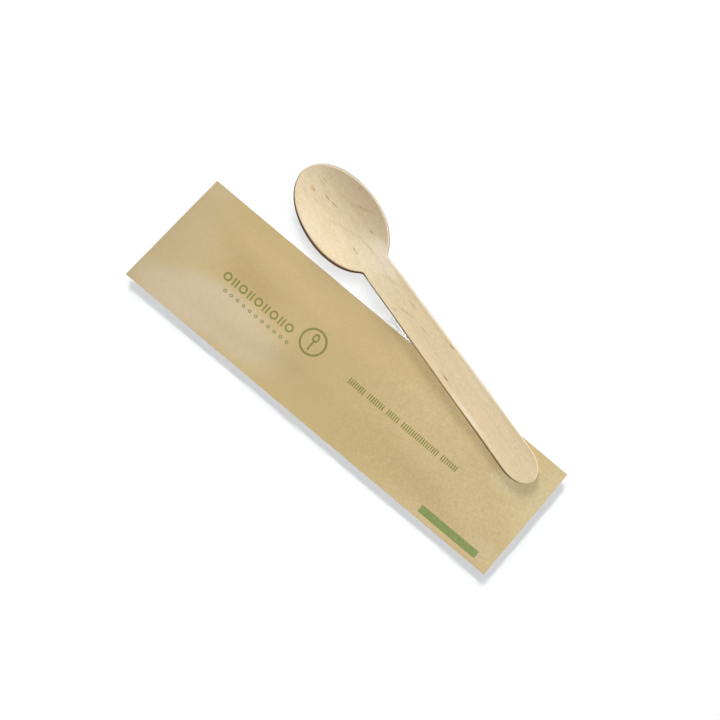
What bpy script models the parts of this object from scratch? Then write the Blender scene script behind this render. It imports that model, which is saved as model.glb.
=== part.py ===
"""A wooden spoon lying half across its sealed paper sachet, in metres, +Z up.

The sachet lies along X with its underside on z = 0, and the centre of that underside is the origin.
The spoon's bowl rests on the same plane beside the sachet, and its handle rests on the paper.
"""

import math

import bmesh
import bpy
from mathutils import Matrix, Vector

# Spoon, all lengths measured from the tip of the bowl
SPOON_LENGTH = 0.160
BOWL_LENGTH = 0.051
BOWL_WIDTH = 0.0328
BOWL_DEPTH = 0.0052
BOWL_ROUND = 1.1
NECK_WIDTH = 0.0128
HANDLE_WIDTH = 0.0152
END_ROUND = 0.0115
VENEER = 0.0017
HANDLE_CUP = 0.0005
EDGE_CHAMFER = 0.00025

# Sachet, sized by the spoon that it holds
END_ROOM = 0.0153
SIDE_ROOM = 0.01045
END_SLANT = 0.0042
END_SEAL = 0.008
PAPER = 0.00012
EDGE_LIFT = 0.0026
END_CURL = 0.0006
BELLY = 0.0030
BOWL_SWELL = 0.0004
BOWL_SAG = 0.0003
HANDLE_RIDGE = 0.00025

# How the loose spoon lies
END_INSET = 0.0091
SIDE_INSET = 0.01135
BOWL_GAP = 0.0044
REST_GAP = 0.0003

# Sizes that follow
SACHET_LENGTH = SPOON_LENGTH + 2 * END_ROOM
SACHET_WIDTH = BOWL_WIDTH + 2 * SIDE_ROOM
TIP_AXIS = 0.525 * BOWL_LENGTH
THROAT_AXIS = BOWL_LENGTH - TIP_AXIS
BOWL_HALF = BOWL_WIDTH / 2
NECK_START = BOWL_LENGTH + 0.004
HANDLE_END = SPOON_LENGTH - END_ROUND
YAW = math.asin((BOWL_GAP + BOWL_HALF + SIDE_INSET) / (SPOON_LENGTH - TIP_AXIS))

BOWL_ROWS = 14
THROAT_ROWS = 16
HANDLE_ROWS = 12
ROUND_ROWS = 10
SPOON_COLUMNS = 16
SACHET_ROWS = 60
SACHET_COLUMNS = 20


def ease(x):
    """0 below 0, 1 above 1 and smooth in between."""
    x = min(max(x, 0.0), 1.0)
    return x * x * (3 - 2 * x)


def arc(x):
    """The height of a unit quarter circle, 0 past its end."""
    return math.sqrt(max(0.0, 1 - x * x))


def clear_scene():
    for obj in list(bpy.data.objects):
        bpy.data.objects.remove(obj)


def new_collection(name):
    collection = bpy.data.collections.new(name)
    bpy.context.scene.collection.children.link(collection)
    return collection


def new_material(name, srgb, roughness):
    """srgb: three values from 0 to 255."""
    linear = [((v / 255 + 0.055) / 1.055) ** 2.4 for v in srgb]
    material = bpy.data.materials.new(name)
    material.use_nodes = True
    shader = material.node_tree.nodes["Principled BSDF"]
    shader.inputs["Base Color"].default_value = (*linear, 1)
    shader.inputs["Roughness"].default_value = roughness
    material.diffuse_color = (*linear, 1)
    return material


# The spoon's outline and its pressed form

def half_width(s):
    """Half the spoon's width at s from the tip."""
    if s < TIP_AXIS:
        return BOWL_HALF * arc((TIP_AXIS - s) / TIP_AXIS)
    along = min(max((s - NECK_START) / (HANDLE_END - NECK_START), 0.0), 1.0)
    handle = (NECK_WIDTH + (HANDLE_WIDTH - NECK_WIDTH) * along) / 2
    if s > HANDLE_END:
        return HANDLE_WIDTH / 2 * arc((s - HANDLE_END) / END_ROUND)
    bowl = BOWL_HALF * arc((s - TIP_AXIS) / THROAT_AXIS)
    soft = 0.12 * NECK_WIDTH
    most = max(bowl, handle)
    return most + 0.25 * max(0.0, soft - abs(bowl - handle)) ** 2 / soft


def dish(s, t):
    """How far the bowl sinks at a point, its hollow running out a little into the neck."""
    reach = 1.04 * TIP_AXIS if s < TIP_AXIS else 1.16 * THROAT_AXIS
    rho = math.hypot((s - TIP_AXIS) / reach, t / (1.05 * BOWL_HALF))
    return BOWL_DEPTH * max(0.0, 1 - rho * rho) ** BOWL_ROUND


def cup(s, t):
    """How far the handle's sides turn up."""
    return HANDLE_CUP * ease((s - 0.9 * BOWL_LENGTH) / (0.3 * BOWL_LENGTH)) * (2 * t / HANDLE_WIDTH) ** 4


def underside(s, t):
    """Height of the spoon's underside over the plane that its handle lies in."""
    return cup(s, t) - dish(s, t)


def spoon_point(s, t, up):
    """A point `up` from the underside, measured square to the sheet."""
    step = 1e-5
    slope_s = (underside(s + step, t) - underside(s - step, t)) / (2 * step)
    slope_t = (underside(s, t + step) - underside(s, t - step)) / (2 * step)
    normal = Vector((-slope_s, -slope_t, 1)).normalized()
    return Vector((s, t, underside(s, t))) + up * normal


def spoon_stations():
    """Where the rows of faces cross the spoon: close together at the tip and the end, far apart on the handle."""
    stations = []
    for i in range(BOWL_ROWS):
        stations.append(TIP_AXIS * (1 - math.cos(math.pi / 2 * i / BOWL_ROWS)))
    for i in range(THROAT_ROWS):
        stations.append(TIP_AXIS + (1.1 * BOWL_LENGTH - TIP_AXIS) * i / THROAT_ROWS)
    for i in range(HANDLE_ROWS):
        stations.append(1.1 * BOWL_LENGTH + (HANDLE_END - 1.1 * BOWL_LENGTH) * i / HANDLE_ROWS)
    for i in range(ROUND_ROWS + 1):
        stations.append(HANDLE_END + END_ROUND * math.sin(math.pi / 2 * i / ROUND_ROWS))
    return stations


# The sachet's two plies

def left_edge(y):
    """The cut end at -X, which runs on a slant."""
    return -SACHET_LENGTH / 2 + END_SLANT * y / SACHET_WIDTH


def belly(x, y):
    """0 along the seals and the long edges, 1 where the sachet is full."""
    start = left_edge(y) + END_SEAL
    stop = SACHET_LENGTH / 2 - END_SEAL
    along = min(x - start, stop - x) / (2.2 * END_ROOM)
    across = (SACHET_WIDTH / 2 - abs(y)) / (1.8 * SIDE_ROOM)
    return ease(along) * ease(across)


def relief(x, y):
    """What the spoon inside lifts the upper ply by: a low ring over its bowl, sunk in the middle, and its handle."""
    tip = END_ROOM - SACHET_LENGTH / 2
    rho = math.hypot((x - tip - TIP_AXIS) / TIP_AXIS, y / BOWL_HALF)
    swell = BOWL_SWELL * ease((1.6 - rho) / 0.7) - BOWL_SAG * ease(1.1 - rho)
    ends = min(x - tip - BOWL_LENGTH, tip + SPOON_LENGTH - x) / HANDLE_WIDTH
    ridge = HANDLE_RIDGE * ease(0.5 + ends) * ease(1.5 - abs(y) / HANDLE_WIDTH)
    return swell + ridge


def sachet_bottom(x, y):
    curl = END_CURL * max(0.0, abs(x) / (SACHET_LENGTH / 2)) ** 12
    return EDGE_LIFT * (1 - belly(x, y)) + curl


def sachet_top(x, y):
    full = BELLY + relief(x, y)
    curl = END_CURL * max(0.0, abs(x) / (SACHET_LENGTH / 2)) ** 12
    seam = EDGE_LIFT + 2 * PAPER + curl
    return seam + (full - EDGE_LIFT - 2 * PAPER) * belly(x, y)


# Building

def unit_block(columns, rows, cuts):
    """A flat block of faces with corners at 0 and 1, its four sides cut into `cuts` + 1 strips."""
    mesh = bmesh.new()
    bmesh.ops.create_grid(mesh, x_segments=columns, y_segments=rows, size=0.5)
    bmesh.ops.translate(mesh, vec=(0.5, 0.5, 0), verts=mesh.verts)
    made = bmesh.ops.extrude_face_region(mesh, geom=mesh.faces[:], use_keep_orig=True)
    raised = [item for item in made["geom"] if isinstance(item, bmesh.types.BMVert)]
    bmesh.ops.translate(mesh, vec=(0, 0, 1), verts=raised)
    if cuts:
        upright = [e for e in mesh.edges if abs(e.verts[0].co.z - e.verts[1].co.z) > 0.5]
        bmesh.ops.subdivide_edges(mesh, edges=upright, cuts=cuts, use_grid_fill=True)
    return mesh


def finish_object(mesh, name, collection, material):
    bmesh.ops.remove_doubles(mesh, verts=mesh.verts, dist=1e-6)
    bmesh.ops.recalc_face_normals(mesh, faces=mesh.faces)
    for face in mesh.faces:
        face.smooth = True
    for edge in mesh.edges:
        edge.smooth = edge.calc_face_angle(0.0) < math.radians(30)
    data = bpy.data.meshes.new(name)
    mesh.to_mesh(data)
    mesh.free()
    data.materials.append(material)
    obj = bpy.data.objects.new(name, data)
    collection.objects.link(obj)
    return obj


def build_spoon(collection):
    stations = spoon_stations()
    rows = len(stations) - 1
    mesh = unit_block(SPOON_COLUMNS, rows, 2)
    for vert in mesh.verts:
        s = stations[round(vert.co.y * rows)]
        across = 2 * vert.co.x - 1
        half = half_width(s)
        level = round(3 * vert.co.z)
        up = (0, EDGE_CHAMFER, VENEER - EDGE_CHAMFER, VENEER)[level]
        if level in (0, 3):
            # The flat faces stop short of the outline by the chamfer.
            s = EDGE_CHAMFER + s * (1 - 2 * EDGE_CHAMFER / SPOON_LENGTH)
            half = max(0.0, half - EDGE_CHAMFER)
        vert.co = spoon_point(s, across * half, up)
    spoon = finish_object(mesh, "wooden_spoon", collection, new_material("birch_wood", (224, 204, 168), 0.6))
    spoon.matrix_world = spoon_placing()
    return spoon


def build_sachet(collection):
    mesh = unit_block(SACHET_COLUMNS, SACHET_ROWS, 0)
    for vert in mesh.verts:
        y = SACHET_WIDTH * (vert.co.x - 0.5)
        x = left_edge(y) + (SACHET_LENGTH / 2 - left_edge(y)) * vert.co.y
        height = sachet_top if vert.co.z > 0.5 else sachet_bottom
        vert.co = (x, y, height(x, y))
    return finish_object(mesh, "paper_sachet", collection, new_material("kraft_paper", (201, 181, 136), 0.75))


def plan_placing(pitch):
    """The spoon turned to its place over the sachet and pitched handle down, its handle end where it should be."""
    turn = Matrix.Rotation(-YAW, 4, "Z") @ Matrix.Rotation(pitch, 4, "Y")
    end = turn @ Vector((SPOON_LENGTH, 0, 0))
    wanted = Vector((SACHET_LENGTH / 2 - END_INSET, SACHET_WIDTH / 2 - SIDE_INSET, 0))
    return Matrix.Translation((wanted.x - end.x, wanted.y - end.y, 0)) @ turn


def lowest_bowl(placing):
    low = 0.0
    for i in range(1, 40):
        low = min(low, (placing @ spoon_point(BOWL_LENGTH * i / 40, 0, 0)).z)
    return low


def least_gap(pitch):
    """The smallest height of the spoon over the paper when its bowl is on the ground."""
    placing = plan_placing(pitch)
    ground = lowest_bowl(placing)
    gap = 1.0
    for i in range(81):
        s = SPOON_LENGTH * i / 80
        for j in range(-4, 5):
            point = placing @ spoon_point(s, half_width(s) * j / 4, 0)
            on_paper = abs(point.y) < SACHET_WIDTH / 2 and abs(point.x) < SACHET_LENGTH / 2
            if on_paper:
                gap = min(gap, point.z - ground - sachet_top(point.x, point.y))
    return gap


def spoon_placing():
    """Pitches the spoon until its handle is the rest gap above the paper."""
    low, high = math.radians(-20), math.radians(20)
    for _ in range(40):
        middle = (low + high) / 2
        if least_gap(middle) > REST_GAP:
            low = middle
        else:
            high = middle
    placing = plan_placing(low)
    return Matrix.Translation((0, 0, -lowest_bowl(placing))) @ placing


clear_scene()
pack = new_collection("wooden_cutlery_pack")
build_sachet(pack)
build_spoon(pack)
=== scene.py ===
"""The looks of the wooden cutlery pack: a pressed birch spoon lying half across its kraft paper sachet.

The row frame holds: metres, +Z up, the sachet along X with its underside on z = 0.
"""

import math

import bmesh
import bpy
import numpy as np
from mathutils import Matrix, Vector, noise


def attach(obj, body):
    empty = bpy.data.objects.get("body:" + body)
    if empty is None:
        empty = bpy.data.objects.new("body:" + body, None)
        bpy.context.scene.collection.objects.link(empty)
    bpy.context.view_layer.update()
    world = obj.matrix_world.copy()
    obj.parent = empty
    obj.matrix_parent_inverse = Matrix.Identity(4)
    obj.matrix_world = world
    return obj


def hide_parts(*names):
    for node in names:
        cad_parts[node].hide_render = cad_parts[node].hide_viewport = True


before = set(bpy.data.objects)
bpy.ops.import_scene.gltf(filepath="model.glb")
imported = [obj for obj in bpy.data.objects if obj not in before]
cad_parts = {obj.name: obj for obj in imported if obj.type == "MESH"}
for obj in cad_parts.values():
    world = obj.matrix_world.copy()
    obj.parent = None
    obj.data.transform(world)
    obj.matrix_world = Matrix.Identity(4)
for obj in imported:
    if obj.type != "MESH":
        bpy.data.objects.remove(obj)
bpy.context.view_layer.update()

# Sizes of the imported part, in millimetres
SPOON_LENGTH = 160.0
BOWL_LENGTH = 51.0
BOWL_WIDTH = 32.8
BOWL_DEPTH = 5.2
BOWL_ROUND = 1.1
NECK_WIDTH = 12.8
HANDLE_WIDTH = 15.2
END_ROUND = 11.5
VENEER = 1.7
HANDLE_CUP = 0.5
END_ROOM = 15.3
SIDE_ROOM = 10.45
END_SLANT = 4.2
END_SEAL = 8.0
PAPER = 0.12
EDGE_LIFT = 2.6
END_CURL = 0.6
BELLY = 3.0
BOWL_SWELL = 0.4
BOWL_SAG = 0.3
HANDLE_RIDGE = 0.25

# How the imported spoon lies
SPOON_TIP = (-69.056, 54.108, 5.585)
SPOON_YAW = math.radians(-13.965)
SPOON_PITCH = math.radians(0.811)

SACHET_LENGTH = SPOON_LENGTH + 2 * END_ROOM
SACHET_WIDTH = BOWL_WIDTH + 2 * SIDE_ROOM
TIP_AXIS = 0.525 * BOWL_LENGTH
THROAT_AXIS = BOWL_LENGTH - TIP_AXIS
BOWL_HALF = BOWL_WIDTH / 2
NECK_START = BOWL_LENGTH + 4
HANDLE_END = SPOON_LENGTH - END_ROUND

# How softly the bowl's outline runs into the handle's, and how far past the outline the dish would reach
NECK_SOFT = 0.12 * NECK_WIDTH
DISH_PAST_TIP = 1.04
DISH_PAST_THROAT = 1.16
DISH_PAST_SIDE = 1.05

# Where the handle's cup begins and how long it takes to come up
CUP_START = 0.9 * BOWL_LENGTH
CUP_RISE = 0.3 * BOWL_LENGTH

# How far in from its sealed edges the sachet is full, and how far the spoon's bowl swells it, in bowl sizes
FILL_ENDS = 2.2 * END_ROOM
FILL_SIDES = 1.8 * SIDE_ROOM
SWELL_REACH = 1.6
SWELL_FALL = 0.7
SAG_REACH = 1.1

# The spoon's cut edge, as rings of points from its underside up: how far in and how high each one lies
EDGE_IN = np.array([0.30, 0.05, 0.0, 0.04, 0.13, 0.42])
EDGE_UP = VENEER * np.array([0, 0.07, 0.2, 0.47, 0.92, 1])
EDGE_STEPS = len(EDGE_IN) - 1

# The cut is slanted: its foot lies further along the spoon than its top, and its top further across
BOWL_SLANT_ALONG = 0.5
BOWL_SLANT_ACROSS = 0.45
BOWL_SLANT_START = 4
BOWL_SLANT_RISE = 26
HANDLE_SLANT = 0.3
HANDLE_SLANT_START = 112
HANDLE_SLANT_RISE = 22
HANDLE_SLANT_FALL = 9

# The low waves in the paper: height, length and seed of each, and how far in from the edges they are full
WAVES = ((0.10, 26, 3.1), (0.035, 9, 7.7))
WAVE_FADE_ENDS = 12
WAVE_FADE_SIDES = 8

# How finely the meshes are cut, and where they are joined and shaded sharp
SPOON_COLUMNS = 48
TIP_ROWS = 36
THROAT_ROWS = 56
HANDLE_ROWS = 60
END_ROWS = 24
SACHET_COLUMNS = 90
SACHET_ROWS = 320
INK_FACE = 0.8
RING_SIDES = 40
JOIN_METRES = 1e-7
SHARP_ANGLE = math.radians(22)

# Light on a flat, level surface, in shares of what makes a white one look white
AMBIENT = 0.15
OVERHEAD = 0.295
KEY = 0.42
SOFT_KEY = 0.285
SPOON_KEY = 0.95
TABLE_LIGHT = AMBIENT + OVERHEAD + KEY + SOFT_KEY
SPOON_LIGHT = AMBIENT + SPOON_KEY
WARM = (1.02, 1.0, 0.97)
COOL = (0.985, 0.99, 1.03)

# The photograph, turned from the sachet, and the camera, straight above the level at which it was measured
PHOTO_PIXELS = 720
PIXELS_PER_MM = 2.425
VIEW_WIDTH = PHOTO_PIXELS / PIXELS_PER_MM
VIEW_CENTRE = (-0.6, 8.1)
VIEW_TURN = math.radians(40)
VIEW_LEVEL = 3
VIEW_DISTANCE = 1600.0
SENSOR_WIDTH = 36


# Small shared functions

def seen(srgb, light=TABLE_LIGHT):
    """The surface colour that looks like these values, from 0 to 255, when it lies flat in that light."""
    return tuple(((v / 255 + 0.055) / 1.055) ** 2.4 / light for v in srgb)


def wood(srgb):
    """The same for the spoon, which has a light of its own."""
    return seen(srgb, SPOON_LIGHT)


def ease(x):
    """A smooth step, 0 below 0 and 1 above 1."""
    x = np.clip(x, 0, 1)
    return x * x * (3 - 2 * x)


def arc(x):
    """A quarter of a circle, 1 at 0 and 0 from 1 on."""
    return np.sqrt(np.clip(1 - x * x, 0, None))


def rough(points, scale, seed):
    """Smooth noise from -1 to 1 at each point, its lumps about `scale` mm across."""
    return np.array([noise.noise(Vector((x / scale + seed, y / scale - seed, seed))) for x, y in points])


# The spoon's form, s from the tip and t across, in millimetres

def half_width(s):
    """Half the spoon's width: a half oval at the tip, the bowl running into the handle, and a round end."""
    along = np.clip((s - NECK_START) / (HANDLE_END - NECK_START), 0, 1)
    handle = (NECK_WIDTH + (HANDLE_WIDTH - NECK_WIDTH) * along) / 2
    bowl = BOWL_HALF * arc(np.clip((s - TIP_AXIS) / THROAT_AXIS, 0, 1))
    near = np.clip(NECK_SOFT - abs(bowl - handle), 0, None)
    body = np.maximum(bowl, handle) + 0.25 * near ** 2 / NECK_SOFT
    tip = BOWL_HALF * arc(np.clip((TIP_AXIS - s) / TIP_AXIS, 0, 1))
    end = HANDLE_WIDTH / 2 * arc(np.clip((s - HANDLE_END) / END_ROUND, 0, 1))
    return np.where(s < TIP_AXIS, tip, np.where(s > HANDLE_END, end, body))


def underside(s, t):
    """The height of the underside: a dished bowl, and a handle cupped upward at its sides."""
    reach = np.where(s < TIP_AXIS, DISH_PAST_TIP * TIP_AXIS, DISH_PAST_THROAT * THROAT_AXIS)
    outward = ((s - TIP_AXIS) / reach) ** 2 + (t / (DISH_PAST_SIDE * BOWL_HALF)) ** 2
    dish = BOWL_DEPTH * np.clip(1 - outward, 0, None) ** BOWL_ROUND
    cup = HANDLE_CUP * ease((s - CUP_START) / CUP_RISE) * (2 * t / HANDLE_WIDTH) ** 4
    return cup - dish


def spoon_points(s, t, up):
    """Points `up` above the underside, square to it."""
    step = 0.01
    slope_s = (underside(s + step, t) - underside(s - step, t)) / (2 * step)
    slope_t = (underside(s, t + step) - underside(s, t - step)) / (2 * step)
    length = np.sqrt(slope_s ** 2 + slope_t ** 2 + 1)
    x = s - slope_s * up / length
    y = t - slope_t * up / length
    return np.stack([x, y, underside(s, t) + up / length], -1)


def slant_shares(s):
    """How much of the bowl's slant and of the handle's the cut edge has, each from 0 to 1."""
    bowl = 1 - ease(s / BOWL_LENGTH * 3 - 2.2)
    rise = ease((s - HANDLE_SLANT_START) / HANDLE_SLANT_RISE)
    return bowl, rise * ease((SPOON_LENGTH - s) / HANDLE_SLANT_FALL)


# The sachet's form, in millimetres

def left_edge(y):
    """Where the end that is cut on a slant lies."""
    return -SACHET_LENGTH / 2 + END_SLANT * y / SACHET_WIDTH


def belly(x, y):
    """0 along the sealed edges and 1 where the sachet is full."""
    along = np.minimum(x - left_edge(y) - END_SEAL, SACHET_LENGTH / 2 - END_SEAL - x) / FILL_ENDS
    across = (SACHET_WIDTH / 2 - abs(y)) / FILL_SIDES
    return ease(along) * ease(across)


def relief(x, y):
    """How the spoon inside lifts the paper: a swelling round its bowl, a hollow over it and a ridge."""
    tip = END_ROOM - SACHET_LENGTH / 2
    outward = np.hypot((x - tip - TIP_AXIS) / TIP_AXIS, y / BOWL_HALF)
    swell = BOWL_SWELL * ease((SWELL_REACH - outward) / SWELL_FALL)
    sag = BOWL_SAG * ease(SAG_REACH - outward)
    ends = np.minimum(x - tip - BOWL_LENGTH, tip + SPOON_LENGTH - x) / HANDLE_WIDTH
    return swell - sag + HANDLE_RIDGE * ease(0.5 + ends) * ease(1.5 - abs(y) / HANDLE_WIDTH)


def curl(x):
    """How far the two ends turn up."""
    return END_CURL * (abs(x) / (SACHET_LENGTH / 2)) ** 12


def sachet_bottom(x, y):
    return EDGE_LIFT * (1 - belly(x, y)) + curl(x)


def sachet_top(x, y):
    seam = EDGE_LIFT + 2 * PAPER + curl(x)
    flat = seam + (BELLY + relief(x, y) - EDGE_LIFT - 2 * PAPER) * belly(x, y)
    points = np.stack([x, y], -1)
    waves = sum(height * rough(points, length, seed) for height, length, seed in WAVES)
    inner = ease((SACHET_WIDTH / 2 - abs(y)) / WAVE_FADE_SIDES)
    return flat + waves * inner * ease((SACHET_LENGTH / 2 - abs(x)) / WAVE_FADE_ENDS)


# Meshes

def unit_block(columns, rows, cuts):
    """A block of faces with corners at 0 and 1, its sides cut into `cuts` + 1 strips."""
    mesh = bmesh.new()
    bmesh.ops.create_grid(mesh, x_segments=columns, y_segments=rows, size=0.5)
    bmesh.ops.translate(mesh, vec=(0.5, 0.5, 0), verts=mesh.verts)
    made = bmesh.ops.extrude_face_region(mesh, geom=mesh.faces[:], use_keep_orig=True)
    raised = [item for item in made["geom"] if isinstance(item, bmesh.types.BMVert)]
    bmesh.ops.translate(mesh, vec=(0, 0, 1), verts=raised)
    if cuts:
        upright = [e for e in mesh.edges if abs(e.verts[0].co.z - e.verts[1].co.z) > 0.5]
        bmesh.ops.subdivide_edges(mesh, edges=upright, cuts=cuts, use_grid_fill=True)
    return mesh


def coordinates(mesh):
    return np.array([v.co[:] for v in mesh.verts])


def move_to(mesh, points):
    """Puts the vertices in their places, joins those that fall together and turns every face outward."""
    for vert, point in zip(mesh.verts, points):
        vert.co = point
    bmesh.ops.remove_doubles(mesh, verts=mesh.verts, dist=JOIN_METRES)
    bmesh.ops.recalc_face_normals(mesh, faces=mesh.faces)


def lay_flat(mesh, points):
    """Keeps each vertex's place on the flat sheet, in mm, for the textures to follow."""
    layer = mesh.verts.layers.float_vector.new("flat_mm")
    for vert, point in zip(mesh.verts, points):
        vert[layer] = point


def finish_piece(mesh, name, materials):
    data = bpy.data.meshes.new(name)
    mesh.to_mesh(data)
    mesh.free()
    data.shade_smooth()
    data.set_sharp_from_angle(angle=SHARP_ANGLE)
    for material in materials:
        data.materials.append(material)
    piece = bpy.data.objects.new(name, data)
    bpy.context.scene.collection.objects.link(piece)
    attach(piece, "root")
    return piece


def spoon_stations():
    """Where the mesh is cut across, from the tip to the end, closer together at both round ends."""
    shank = 1.15 * BOWL_LENGTH
    tip = TIP_AXIS * (1 - np.cos(math.pi / 2 * np.arange(TIP_ROWS) / TIP_ROWS))
    throat = np.linspace(TIP_AXIS, shank, THROAT_ROWS, endpoint=False)
    handle = np.linspace(shank, HANDLE_END, HANDLE_ROWS, endpoint=False)
    end = HANDLE_END + END_ROUND * np.sin(math.pi / 2 * np.arange(END_ROWS + 1) / END_ROWS)
    return np.concatenate([tip, throat, handle, end])


def mark_sides(mesh):
    """Gives the faces between the two sides of a block its second material."""
    for face in mesh.faces:
        heights = [v.co.z for v in face.verts]
        face.material_index = int(max(heights) - min(heights) > 0.01)


def build_spoon(faces, edge):
    stations = spoon_stations()
    rows = len(stations) - 1
    mesh = unit_block(SPOON_COLUMNS, rows, EDGE_STEPS - 1)
    mark_sides(mesh)
    unit = coordinates(mesh)
    s = stations[np.rint(unit[:, 1] * rows).astype(int)]
    level = np.rint(unit[:, 2] * EDGE_STEPS).astype(int)
    inset = EDGE_IN[level]
    up = EDGE_UP[level]
    bowl, handle = slant_shares(s)
    from_tip = ease((s - BOWL_SLANT_START) / BOWL_SLANT_RISE)
    slant = BOWL_SLANT_ACROSS * bowl * from_tip + HANDLE_SLANT * handle
    half = np.clip(half_width(s) - slant / 2 - inset, 0, None)
    t = (2 * unit[:, 0] - 1) * half + slant * (up / VENEER - 0.5 * handle)
    s = inset + s * (1 - 2 * inset / SPOON_LENGTH) + BOWL_SLANT_ALONG * bowl * (1 - up / VENEER)
    lay_flat(mesh, np.stack([s, t, up], -1))
    move_to(mesh, spoon_points(s, t, up) / 1000)
    spoon = finish_piece(mesh, "birch_spoon", [faces, edge])
    turn = Matrix.Rotation(SPOON_YAW, 4, "Z") @ Matrix.Rotation(SPOON_PITCH, 4, "Y")
    spoon.data.transform(Matrix.Translation(Vector(SPOON_TIP) / 1000) @ turn)
    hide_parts("wooden_spoon")
    return spoon


def build_sachet(material):
    mesh = unit_block(SACHET_COLUMNS, SACHET_ROWS, 0)
    unit = coordinates(mesh)
    y = SACHET_WIDTH * (unit[:, 0] - 0.5)
    x = left_edge(y) + (SACHET_LENGTH / 2 - left_edge(y)) * unit[:, 1]
    z = np.where(unit[:, 2] > 0.5, sachet_top(x, y), sachet_bottom(x, y))
    lay_flat(mesh, np.stack([x, y, z], -1))
    move_to(mesh, np.stack([x, y, z], -1) / 1000)
    sachet = finish_piece(mesh, "kraft_sachet", [material])
    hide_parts("paper_sachet")
    return sachet


# Printed shapes, drawn flat, in mm from the sachet's left end and from its +Y edge

INK_LIFT = 0.03

BAR_AT = (152.8, 47.85)
BAR_SIZE = (30.4, 3.4)

BEADS_AT = (30.9, 27.35)
BEADS = 9
BEAD_PITCH = 4.12
BEAD_RADIUS = 1.9
BEAD_STROKE = 0.78
PAIR_HALF = 0.8
PAIR_SIZE = (0.76, 3.7)

MARK_AT = (75.2, 25.55)
MARK_RADIUS = 6.0
MARK_STROKE = 0.95
SIGN_RADIUS = 1.5
SIGN_STROKE = 0.75
SIGN_TALL = 1.35
SIGN_RISE = 2.0
STEM_START = -0.2
STEM_SIZE = (0.8, 4.2)

DOTS_AT = (33.7, 32.55)
DOTS = 11
DOT_PITCH = 3.3
DOT_RADIUS = 0.75
DOT_STROKE = 0.4

TICKS_AT = (96.6, 26.55)
TICK_GROUPS = (8, 8, 6, 18, 8)
TICK_PITCH = 1.08
TICK_GROUP_GAP = 1.6
TICK_SIZE = (0.56, 2.7)


def on_paper(points):
    """Flat points laid on the sachet, a hair above the paper."""
    x = points[:, 0] - SACHET_LENGTH / 2
    y = SACHET_WIDTH / 2 - points[:, 1]
    return np.stack([x, y, sachet_top(x, y) + INK_LIFT], -1) / 1000


def add_patch(mesh, to_flat, columns, rows):
    """A grid of faces from the unit square, each corner placed by `to_flat`."""
    before = set(mesh.verts)
    bmesh.ops.create_grid(mesh, x_segments=columns, y_segments=rows, size=0.5)
    verts = [v for v in mesh.verts if v not in before]
    unit = np.array([v.co[:2] for v in verts]) + 0.5
    for vert, point in zip(verts, on_paper(to_flat(unit))):
        vert.co = point


def add_bar(mesh, x, y, size):
    def to_flat(unit):
        return np.stack([x + size[0] * unit[:, 0], y + size[1] * unit[:, 1]], -1)

    add_patch(mesh, to_flat, *(max(1, round(side / INK_FACE)) for side in size))


def add_ring(mesh, x, y, radius, stroke, tall=1.0):
    def to_flat(unit):
        angle = 2 * math.pi * unit[:, 0]
        r = radius - stroke * unit[:, 1]
        return np.stack([x + r * np.cos(angle), y + tall * r * np.sin(angle)], -1)

    add_patch(mesh, to_flat, RING_SIDES, 1)


def add_beads(mesh):
    """A row of rings with a pair of short bars between each two."""
    y = BEADS_AT[1]
    for i in range(BEADS):
        x = BEADS_AT[0] + BEAD_PITCH * i
        if i % 2:
            for side in (-PAIR_HALF, PAIR_HALF):
                add_bar(mesh, x + side - PAIR_SIZE[0] / 2, y - PAIR_SIZE[1] / 2, PAIR_SIZE)
        else:
            add_ring(mesh, x, y, BEAD_RADIUS, BEAD_STROKE)


def add_mark(mesh):
    """A ring with a plain spoon shape in it."""
    x, y = MARK_AT
    add_ring(mesh, x, y, MARK_RADIUS, MARK_STROKE)
    add_ring(mesh, x, y - SIGN_RISE, SIGN_RADIUS, SIGN_STROKE, SIGN_TALL)
    add_bar(mesh, x - STEM_SIZE[0] / 2, y + STEM_START, STEM_SIZE)


def add_dots(mesh):
    for i in range(DOTS):
        add_ring(mesh, DOTS_AT[0] + DOT_PITCH * i, DOTS_AT[1], DOT_RADIUS, DOT_STROKE)


def add_ticks(mesh):
    x, y = TICKS_AT
    for group in TICK_GROUPS:
        for _ in range(group):
            add_bar(mesh, x, y, TICK_SIZE)
            x += TICK_PITCH
        x += TICK_GROUP_GAP


def build_print(bar_ink, mark_ink):
    """Plain shapes in the places of the printing, the bar in one ink and the rest in another."""
    mesh = bmesh.new()
    add_bar(mesh, *BAR_AT, BAR_SIZE)
    bar_faces = len(mesh.faces)
    for add in (add_beads, add_mark, add_dots, add_ticks):
        add(mesh)
    lay_flat(mesh, coordinates(mesh) * 1000)
    for i, face in enumerate(mesh.faces):
        face.material_index = int(i >= bar_faces)
        face.normal_update()
        if face.normal.z < 0:
            face.normal_flip()
    return finish_piece(mesh, "sachet_print", [bar_ink, mark_ink])


# Materials

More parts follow.
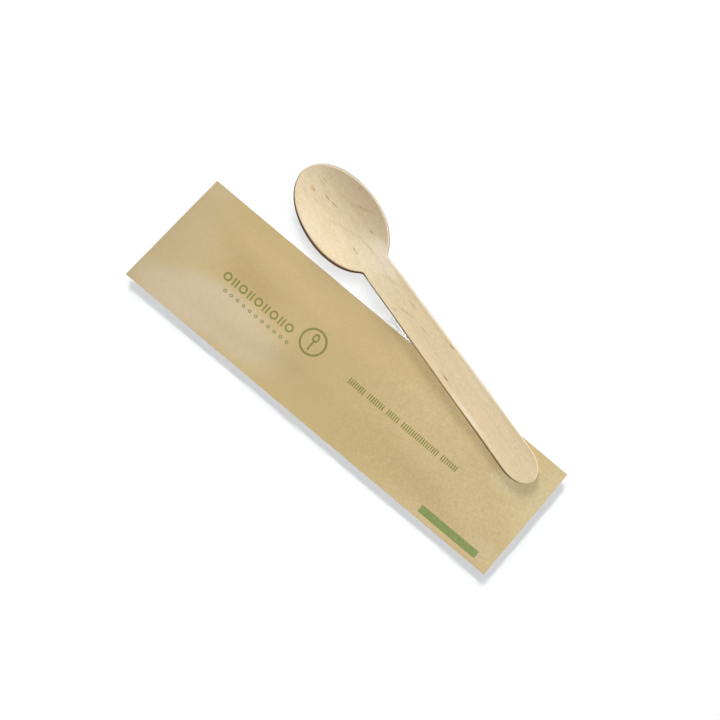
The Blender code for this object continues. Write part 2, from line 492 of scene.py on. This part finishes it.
class Nodes:
    """Short calls for making a material's nodes."""

    def __init__(self, name):
        self.material = bpy.data.materials.new(name)
        self.material.use_nodes = True
        self.tree = self.material.node_tree
        self.shader = self.tree.nodes["Principled BSDF"]

    def put(self, socket, value):
        """Links a socket to another, or sets it to a value."""
        if isinstance(value, bpy.types.NodeSocket):
            self.tree.links.new(value, socket)
        else:
            socket.default_value = value

    def add(self, kind, inputs, **settings):
        node = self.tree.nodes.new(kind)
        for key, value in settings.items():
            setattr(node, key, value)
        for key, value in inputs.items():
            self.put(node.inputs[key], value)
        return node

    def math(self, operation, *values):
        return self.add("ShaderNodeMath", dict(enumerate(values)), operation=operation).outputs[0]

    def place(self, scale, turn=0.0, shift=(0, 0, 0)):
        """The piece's own coordinates in millimetres, moved, turned about Z and stretched."""
        source = self.add("ShaderNodeAttribute", {}, attribute_name="flat_mm").outputs["Vector"]
        where = self.add("ShaderNodeVectorMath", {0: source, 1: shift}, operation="SUBTRACT").outputs[0]
        if turn:
            inputs = {"Vector": where, "Angle": turn}
            where = self.add("ShaderNodeVectorRotate", inputs, rotation_type="Z_AXIS").outputs[0]
        return self.add("ShaderNodeVectorMath", {0: where, 1: scale}, operation="MULTIPLY").outputs[0]

    def noise(self, where, detail=2.0, roughness=0.5, distortion=0.0):
        inputs = {"Vector": where, "Scale": 1.0, "Detail": detail, "Roughness": roughness,
                  "Distortion": distortion}
        return self.add("ShaderNodeTexNoise", inputs).outputs["Fac"]

    def span(self, value, low, high, to_low=0.0, to_high=1.0):
        """A smooth step from `to_low`, where the value is `low`, to `to_high`, where it is `high`."""
        inputs = {"Value": value, "From Min": low, "From Max": high, "To Min": to_low, "To Max": to_high}
        return self.add("ShaderNodeMapRange", inputs, interpolation_type="SMOOTHSTEP").outputs[0]

    def blob(self, centre, size, turn=0.0, edge=0.0):
        """1 at the centre of a soft oval and 0 outside it.

        size: its half axes in mm. edge: how far out, as a share of them, the fall starts.
        """
        where = self.place((1 / size[0], 1 / size[1], 0), -turn, (*centre, 0))
        distance = self.add("ShaderNodeVectorMath", {0: where}, operation="LENGTH").outputs["Value"]
        return self.span(distance, edge, 1.0, 1.0, 0.0)

    def mix(self, factor, a, b, blend="MIX"):
        node = self.add("ShaderNodeMix", {}, data_type="RGBA", blend_type=blend)
        self.put(node.inputs[0], factor)
        self.put(node.inputs[6], a if isinstance(a, bpy.types.NodeSocket) else (*a, 1))
        self.put(node.inputs[7], b if isinstance(b, bpy.types.NodeSocket) else (*b, 1))
        return node.outputs[2]

    def tone(self, colour, amount):
        """The colour times a value."""
        grey = self.add("ShaderNodeCombineColor", {0: amount, 1: amount, 2: amount}).outputs[0]
        return self.mix(1.0, colour, grey, "MULTIPLY")

    def bump(self, height, depth):
        """The normal of a surface whose height, from 0 to 1, is `depth` mm."""
        inputs = {"Height": height, "Distance": depth / 1000, "Strength": 1.0}
        return self.add("ShaderNodeBump", inputs).outputs[0]

    def finish(self, colour, roughness, gloss, normal=None):
        self.put(self.shader.inputs["Base Color"], colour)
        self.put(self.shader.inputs["Roughness"], roughness)
        self.put(self.shader.inputs["Specular IOR Level"], gloss)
        if normal is not None:
            self.put(self.shader.inputs["Normal"], normal)
        return self.material


# Shine of each surface, as the shader's specular level
PAPER_GLOSS = 0.04
WOOD_GLOSS = 0.14
FLOOR_GLOSS = 0.14

# Colours as they look in the photograph
KRAFT = (200, 178, 129)
KRAFT_BLUSH = (205, 181, 140)
GREEN_INK = (127, 148, 86)
OLIVE_INK = (131, 134, 70)
BIRCH = (219, 200, 162)
BIRCH_PALE = (228, 208, 174)
BIRCH_ROSY = (229, 201, 173)
BIRCH_STRAW = (220, 202, 156)
BIRCH_FLECK = (140, 103, 66)
# The cut edge: darker than the face, partly its own tone and partly painted shade, with a painted highlight
# along its top
HANDLE_CUT_TONE_AND_SHADE = (198, 168, 130)
BOWL_CUT_TONE_AND_SHADE = (146, 112, 78)
# painted highlight: the pale line along the top of the cut, on the lit side
CUT_LIP_HIGHLIGHT = (246, 234, 212)

# The floor's own colour, to the eye and for the light that it throws back
FLOOR_TO_EYE = (0.88, 0.9, 0.91)
FLOOR_TO_LIGHT = (0.3, 0.3, 0.3)

# The paper's paler and darker patches, in mm from its middle, seen from above: partly its own uneven tone,
# partly painted sheen and painted shade where the relief would catch or lose the light, and paler ground
# that thins the spoon's cast shadow:
# middle, half axes, turn, how far its core reaches, colour
PAPER_TONE_AND_PAINTED_LIGHT = (
    ((-94, 2), (32, 32), 0.0, 0.3, (200, 181, 140)),
    ((-30, 32), (75, 9), 0.0, 0.2, (203, 183, 137)),
    ((60, 10), (62, 30), 0.0, 0.4, (207, 186, 139)),
    ((20, -16), (45, 14), 0.0, 0.2, (199, 178, 129)),
    ((100, 14), (27, 38), 0.0, 0.1, (209, 192, 151)),
    ((72, -10), (20, 12), 0.0, 0.1, (209, 188, 144)),
    ((88, -20), (14, 9), 0.0, 0.2, (204, 185, 145)),
    ((-92, 26), (14, 10), 0.0, 0.2, (203, 185, 145)),
    ((60, -27), (34, 9), 0.0, 0.2, (207, 187, 143)),
    # painted light: paler ground where the spoon's cast shadow falls on the paper, by the handle's end and
    # where it crosses the edge
    ((78, 7), (11, 6), 0.0, 0.2, (217, 200, 157)),
    ((15, 22), (20, 6), -0.24, 0.2, (209, 187, 136)),
    ((-36, 17), (17, 6), 0.0, 0.2, (198, 176, 128)),
    # painted shade: darker ground over the bowl inside, on the slopes of the relief that turn from the
    # light
    ((-66, 10), (26, 8), -0.28, 0.1, (195, 173, 125)),
    ((-55, 4), (20, 7), 0.0, 0.2, (193, 169, 119)),
    # painted sheen: a paler, greyer patch towards the -Y edge at the bowl's end
    ((-82, -23), (26, 11), -0.15, 0.3, (205, 189, 157)),
    ((-60, -15), (34, 15), 0.1, 0.45, (209, 192, 163)),
    ((-42, -16), (25, 15), 0.0, 0.2, (211, 193, 157)),
)


def paper_texture(n):
    """(tone, height) of unbleached paper: cloudy formation, grit, and short dark fibres lying every way."""
    rough_side = n.span(n.blob((60, 0), (80, 60)), 0.0, 0.5, 0.3, 1.0)
    cloud = n.noise(n.place((0.09, 0.09, 0.09)), 3, 0.55)
    mottle = n.noise(n.place((0.75, 0.75, 0.75)), 3, 0.7)
    grain = n.noise(n.place((1.9, 1.9, 1.9)), 2, 0.6)
    blotch = n.math("MULTIPLY", n.math("MULTIPLY_ADD", mottle, 0.40, -0.20), rough_side)
    tone = n.math("MULTIPLY_ADD", n.math("SUBTRACT", cloud, 0.5), 0.05, 1.012)
    tone = n.math("ADD", tone, blotch)
    fine = n.math("SUBTRACT", grain, 0.5)
    grit = n.math("MULTIPLY", fine, n.math("MULTIPLY_ADD", rough_side, 0.16, 0.10))
    tone = n.math("ADD", tone, grit)
    fibres = 0.0
    for i, turn in enumerate((0.3, 1.15, 1.9, 2.7)):
        where = n.place((0.55, 6.0, 1.0), turn, (17 * i, 31 * i, 0))
        strand = n.span(n.noise(where, 1, 0.4, 0.6), 0.60, 0.78)
        fibres = n.math("ADD", fibres, strand)
    tone = n.math("MULTIPLY_ADD", fibres, -0.035, tone)
    height = n.math("MULTIPLY_ADD", fibres, 0.5, mottle)
    return tone, height


def kraft_colour(n):
    colour = seen(KRAFT)
    for centre, size, turn, core, tint in PAPER_TONE_AND_PAINTED_LIGHT:
        colour = n.mix(n.blob(centre, size, turn, core), colour, seen(tint))
    blush = n.noise(n.place((0.35, 0.35, 0.35), 0.0, (5, 60, 0)), 3, 0.65)
    return n.mix(n.span(blush, 0.35, 0.7, 0.0, 0.20), colour, seen(KRAFT_BLUSH))


def make_kraft():
    n = Nodes("kraft_paper")
    tone, height = paper_texture(n)
    return n.finish(n.tone(kraft_colour(n), tone), 0.82, PAPER_GLOSS, n.bump(height, 0.03))


def make_ink(name, srgb, cover):
    """Ink printed thin on the same paper, hiding a share of up to `cover` of it."""
    n = Nodes(name)
    tone, height = paper_texture(n)
    wear = n.span(n.noise(n.place((1.3, 1.3, 1.3)), 4, 0.7), 0.3, 0.65, 0.8 * cover, cover)
    colour = n.mix(wear, kraft_colour(n), seen(srgb))
    return n.finish(n.tone(colour, tone), 0.8, PAPER_GLOSS, n.bump(height, 0.02))


# Dark flecks in the veneer, in mm from the spoon's tip and its middle line:
# place along and across, length, width, turn, strength
WOOD_FLECKS = (
    (8.8, 4.1, 4.0, 0.48, 0.0, 0.30),
    (8.7, 2.7, 3.8, 0.44, 0.0, 0.28),
    (15.1, 0.5, 4.0, 0.60, 0.0, 0.62),
    (19.4, 1.1, 4.2, 0.58, 0.12, 0.66),
    (14.3, -1.6, 2.8, 0.48, 0.0, 0.36),
    (9.2, -2.3, 2.0, 1.10, 0.0, 0.55),
    (13.8, -4.2, 4.2, 0.50, -0.05, 0.22),
    (26.4, 9.8, 1.4, 1.10, 0.4, 0.30),
    (20.2, 13.7, 1.4, 0.90, 0.3, 0.28),
    (38.0, 7.2, 2.0, 1.00, 0.2, 0.50),
    (39.5, -3.4, 2.6, 0.75, 0.0, 0.66),
    (41.6, -3.5, 1.9, 0.60, 0.0, 0.52),
    (45.5, 2.3, 6.0, 0.45, 0.06, 0.20),
    (72.0, 2.7, 6.0, 0.60, 0.0, 0.36),
    (83.3, 0.4, 5.4, 0.60, 0.05, 0.34),
    (69.2, -4.0, 3.2, 0.60, 0.35, 0.26),
    (92.0, 5.6, 2.4, 0.60, 0.0, 0.24),
    (95.2, 5.8, 3.8, 0.85, 0.0, 0.60),
    (102.0, -4.0, 4.0, 0.50, 0.05, 0.30),
    (104.6, -4.2, 3.2, 0.90, 0.0, 0.74),
    (104.0, -4.1, 6.5, 0.50, 0.0, 0.26),
    (68.8, -4.8, 3.0, 0.50, 0.1, 0.26),
)
FLECK_SPREAD = 0.62

# Paler and darker ground in the veneer, measured as the flecks are: partly the wood's own tone and figure
# lines, partly painted light and painted shade on the bowl:
# middle, half axes, turn, how far its core reaches, colour
WOOD_TONE_AND_PAINTED_LIGHT = (
    ((115, 0), (62, 14), 0.0, 0.6, (223, 202, 163)),
    # painted shade: a rosier tint over the bowl's shaded side
    ((27, 12), (24, 9), 0.0, 0.2, (226, 202, 168)),
    # painted light: paler ground on the bowl's lit side
    ((20, -12.5), (14, 5), 0.0, 0.2, (227, 208, 177)),
    # painted light: a paler throat, and a paler spot beside it where the bowl's curve meets the light
    ((48, 3), (17, 11), 0.0, 0.1, (235, 218, 189)),
    ((47, 6.5), (9, 4.5), 0.0, 0.2, (243, 226, 198)),
    # painted light: a paler tip
    ((2, 0), (8, 12), 0.0, 0.1, (229, 209, 175)),
    ((25.5, -3.7), (6.2, 1.0), 0.47, 0.1, (217, 196, 160)),
    ((33.0, -0.1), (6.6, 1.1), 0.42, 0.1, (215, 194, 157)),
    ((41.5, 2.3), (7.5, 0.8), 0.14, 0.1, (221, 201, 166)),
    ((27.5, 9.9), (7.5, 1.4), 0.61, 0.1, (209, 187, 150)),
    ((24, 7.5), (12, 1.4), 0.15, 0.1, (217, 194, 157)),
    ((8.1, -2.4), (1.6, 1.1), 0.0, 0.2, (220, 187, 134)),
    ((4.2, -0.6), (4.4, 0.8), 0.05, 0.1, (223, 198, 157)),
    ((72.2, -1.4), (6.8, 0.9), 0.28, 0.1, (211, 188, 151)),
    ((61.0, 2.6), (9.5, 1.4), 0.42, 0.1, (219, 198, 161)),
    ((122, -5.9), (16, 1.8), 0.0, 0.2, (232, 214, 182)),
    ((112, 5.4), (26, 2.6), 0.02, 0.2, (226, 208, 170)),
)


def wood_texture(n):
    """(colour, height) of rotary-cut birch: pale, with a soft slanting figure, short pores and speckle, and
    painted light and shade on the bowl.
    """
    figure = n.noise(n.place((0.045, 0.16, 0.1), 0.10), 2, 0.5, 1.2)
    lines = n.noise(n.place((0.05, 0.9, 0.5), 0.06, (0, 3, 0)), 3, 0.6, 0.5)
    speckle = n.noise(n.place((0.7, 2.0, 1.0), 0.12), 3, 0.7)
    tint = n.noise(n.place((0.22, 0.6, 1.0), 0.1, (40, 9, 0)), 3, 0.6)
    pores = n.span(n.noise(n.place((0.45, 4.2, 1.0), 0.0, (9, 5, 0)), 2, 0.5), 0.60, 0.80)
    colour = n.mix(n.span(figure, 0.3, 0.7), wood(BIRCH), wood(BIRCH_PALE))
    colour = n.mix(n.span(tint, 0.52, 0.68, 0.0, 0.5), colour, wood(BIRCH_ROSY))
    colour = n.mix(n.span(tint, 0.48, 0.32, 0.0, 0.5), colour, wood(BIRCH_STRAW))
    for centre, size, turn, core, shade in WOOD_TONE_AND_PAINTED_LIGHT:
        colour = n.mix(n.blob(centre, size, turn, core), colour, wood(shade))
    tone = n.math("MULTIPLY_ADD", n.math("SUBTRACT", lines, 0.5), 0.20, 1.0)
    tone = n.math("MULTIPLY_ADD", n.math("SUBTRACT", speckle, 0.5), 0.44, tone)
    tone = n.math("MULTIPLY_ADD", pores, -0.12, tone)
    return n.tone(colour, tone), n.math("MULTIPLY_ADD", pores, -0.6, speckle)


def make_birch():
    n = Nodes("birch_face")
    colour, height = wood_texture(n)
    for s, t, length, width, turn, strength in WOOD_FLECKS:
        half_axes = (FLECK_SPREAD * length, FLECK_SPREAD * width)
        fleck = n.math("MULTIPLY", n.blob((s, t), half_axes, turn, 0.35), strength)
        ragged = n.math("MULTIPLY", fleck, n.span(n.noise(n.place((0.9, 3.0, 1.0))), 0.35, 0.6, 0.65, 1.0))
        colour = n.mix(ragged, colour, wood(BIRCH_FLECK))
    return n.finish(colour, 0.62, WOOD_GLOSS, n.bump(height, 0.03))


def make_birch_edge():
    """The die-cut edge: a painted highlight as a pale, broken line along its top on the lit side, and
    darker below, partly its own tone and partly painted shade, most of all round the bowl on the side
    turned from the light.
    """
    n = Nodes("birch_edge")
    face, height = wood_texture(n)
    place = n.add("ShaderNodeSeparateXYZ", {0: n.place((1, 1, 1))})
    along, across, up = place.outputs
    streak = n.noise(n.place((2.0, 1.0, 3.0)), 3, 0.6)
    level = n.math("MULTIPLY_ADD", n.math("SUBTRACT", streak, 0.5), 0.5, up)
    bowl = n.span(along, 60, 48)
    # painted shade: round the bowl the cut is dark further up on the side turned from the light
    shaded_side = n.math("MULTIPLY", bowl, n.span(across, 2, -6))
    level = n.math("MULTIPLY_ADD", shaded_side, -0.3 * VENEER, level)
    dark = n.mix(bowl, wood(HANDLE_CUT_TONE_AND_SHADE), wood(BOWL_CUT_TONE_AND_SHADE))
    colour = n.mix(n.span(level, 0.3 * VENEER, 0.6 * VENEER), dark, face)
    # painted highlight: a pale, broken line along the top of the cut, on the lit side only
    above = n.span(up, 0.72 * VENEER, 0.86 * VENEER)
    lip_highlight = n.math("MULTIPLY", above, n.span(up, VENEER, 0.96 * VENEER))
    broken = n.span(n.noise(n.place((0.5, 0.1, 0.1)), 2), 0.35, 0.55, 0.5, 1.0)
    broken = n.math("MULTIPLY", broken, n.span(across, -4, 2))
    colour = n.mix(n.math("MULTIPLY", lip_highlight, broken), colour, wood(CUT_LIP_HIGHLIGHT))
    return n.finish(colour, 0.75, WOOD_GLOSS, n.bump(n.math("ADD", height, streak), 0.04))


def make_floor():
    """White to the eye, but it throws little light back, so that the pieces keep their shaded sides."""
    n = Nodes("floor")
    eye = n.add("ShaderNodeLightPath", {}).outputs["Is Camera Ray"]
    return n.finish(n.mix(eye, FLOOR_TO_LIGHT, FLOOR_TO_EYE), 0.9, FLOOR_GLOSS)


# Stage

# Half the floor's width and how far it lies below the pieces, in metres
FLOOR_HALF = 3.0
FLOOR_DROP = 0.00005


def aim(obj, along):
    """Points an object's -Z the way of `along`."""
    obj.rotation_euler = Vector(along).to_track_quat("-Z", "Y").to_euler()


def screen(right, up, out):
    """A direction in the photograph's own axes, as one in the row frame."""
    c = math.cos(VIEW_TURN)
    s = math.sin(VIEW_TURN)
    return Vector((c * right - s * up, s * right + c * up, out))


def add_sun(name, azimuth, elevation, share, softness, colour, lit, shading):
    """A sun lighting the pieces in `lit`, with shadows from those in `shading`.

    azimuth: where it shines from, in degrees anticlockwise from the photograph's right.
    share: how much of a flat surface's light it gives. softness: its width in degrees.
    With the floor alone in `shading` it casts no shadow.
    """
    a = math.radians(azimuth)
    e = math.radians(elevation)
    light = bpy.data.lights.new(name, "SUN")
    light.energy = share * math.pi / math.sin(e)
    light.angle = math.radians(softness)
    light.color = colour
    lamp = bpy.data.objects.new(name, light)
    bpy.context.scene.collection.objects.link(lamp)
    source = screen(math.cos(a) * math.cos(e), math.sin(a) * math.cos(e), math.sin(e))
    lamp.location = source
    aim(lamp, -source)
    for kind, pieces in (("receiver", lit), ("blocker", shading)):
        group = bpy.data.collections.new(f"{name}_{kind}s")
        for piece in pieces:
            group.objects.link(piece)
        setattr(lamp.light_linking, f"{kind}_collection", group)


def build_floor():
    mesh = bmesh.new()
    bmesh.ops.create_grid(mesh, x_segments=1, y_segments=1, size=FLOOR_HALF)
    data = bpy.data.meshes.new("floor")
    mesh.to_mesh(data)
    mesh.free()
    data.materials.append(make_floor())
    floor = bpy.data.objects.new("floor", data)
    floor.location.z = -FLOOR_DROP
    bpy.context.scene.collection.objects.link(floor)
    return floor


def add_lights(spoon, sachet, printed, floor):
    """The photograph's shadows don't agree with one light, so each has a light of its own."""
    paper = [sachet, printed]
    table = [floor, sachet, printed]
    white = (1, 1, 1)
    add_sun("key", 88, 32, KEY, 19, WARM, lit=table, shading=[sachet])
    add_sun("soft_key_on_floor", 76, 47, SOFT_KEY, 26, WARM, lit=[floor], shading=[spoon])
    add_sun("soft_key_on_paper", 93, 18, SOFT_KEY, 19, WARM, lit=paper, shading=[spoon])
    add_sun("overhead", 90, 90, OVERHEAD, 30, COOL, lit=table, shading=[floor])
    add_sun("spoon_key", 42, 54, SPOON_KEY, 20, white, lit=[spoon], shading=[spoon])


def build_world():
    world = bpy.data.worlds.new("studio")
    world.use_nodes = True
    background = world.node_tree.nodes["Background"]
    background.inputs["Color"].default_value = (*COOL, 1)
    background.inputs["Strength"].default_value = AMBIENT
    bpy.context.scene.world = world


def build_camera():
    camera = bpy.data.cameras.new("camera")
    camera.sensor_width = SENSOR_WIDTH
    camera.lens = SENSOR_WIDTH * VIEW_DISTANCE / VIEW_WIDTH
    camera.clip_end = 10
    eye = bpy.data.objects.new("camera", camera)
    eye.location = Vector((*VIEW_CENTRE, VIEW_DISTANCE + VIEW_LEVEL)) / 1000
    eye.rotation_euler = (0, 0, VIEW_TURN)
    bpy.context.scene.collection.objects.link(eye)
    bpy.context.scene.camera = eye


spoon = build_spoon(make_birch(), make_birch_edge())
sachet = build_sachet(make_kraft())
printed = build_print(make_ink("green_ink", GREEN_INK, 0.99), make_ink("olive_ink", OLIVE_INK, 0.98))
add_lights(spoon, sachet, printed, build_floor())
build_world()
build_camera()
bpy.context.scene.view_settings.view_transform = "Standard"
